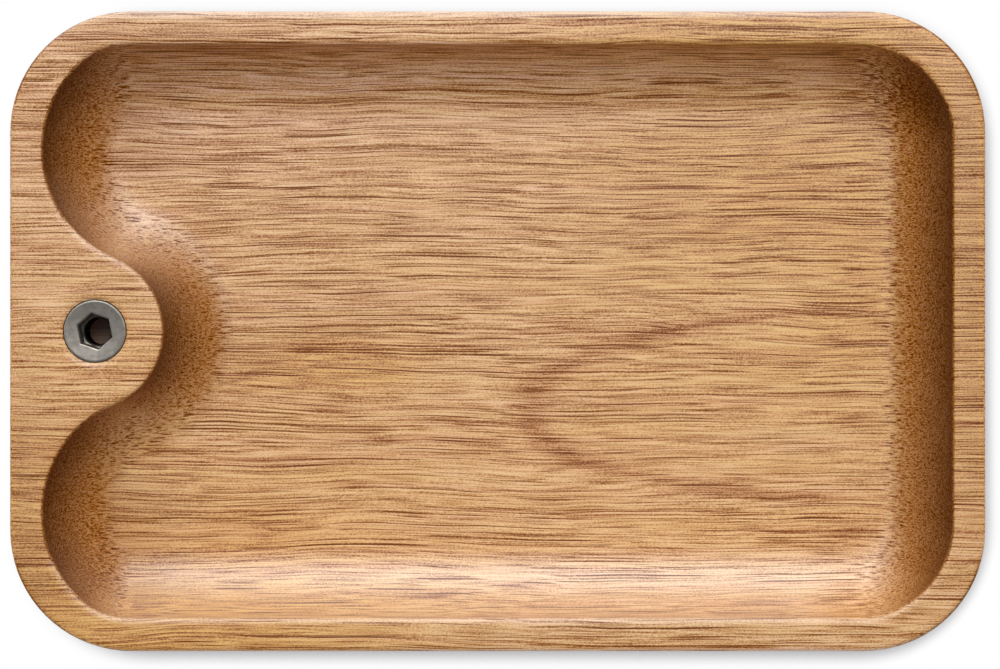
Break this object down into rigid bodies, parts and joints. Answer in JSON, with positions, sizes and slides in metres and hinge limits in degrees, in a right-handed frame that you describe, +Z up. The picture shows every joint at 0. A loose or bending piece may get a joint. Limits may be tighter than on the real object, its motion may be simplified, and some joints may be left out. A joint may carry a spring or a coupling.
{
  "type": "valet tray",
  "caption": "Rounded rectangular wooden tray with one routed pocket whose coved wall runs round a peninsula that holds a flanged hex-drive threaded insert.",
  "frame": {"origin": "centre of the flat underside, on the surface that the tray stands on", "axes": "+X along the tray and its grain, away from the end that carries the insert; +Y across the tray; +Z up, out of the pocket"},
  "size_m": [0.25, 0.164, 0.0243],
  "materials": {
    "oiled_hardwood": "open-pored honey-brown hardwood, oiled satin, straight grain along X",
    "zinc_alloy": "dull grey die-cast zinc alloy, lightly scuffed"
  },
  "bodies": {
    "root": {"tray_body": "oiled_hardwood", "threaded_insert": "zinc_alloy"}
  },
  "joints": []
}
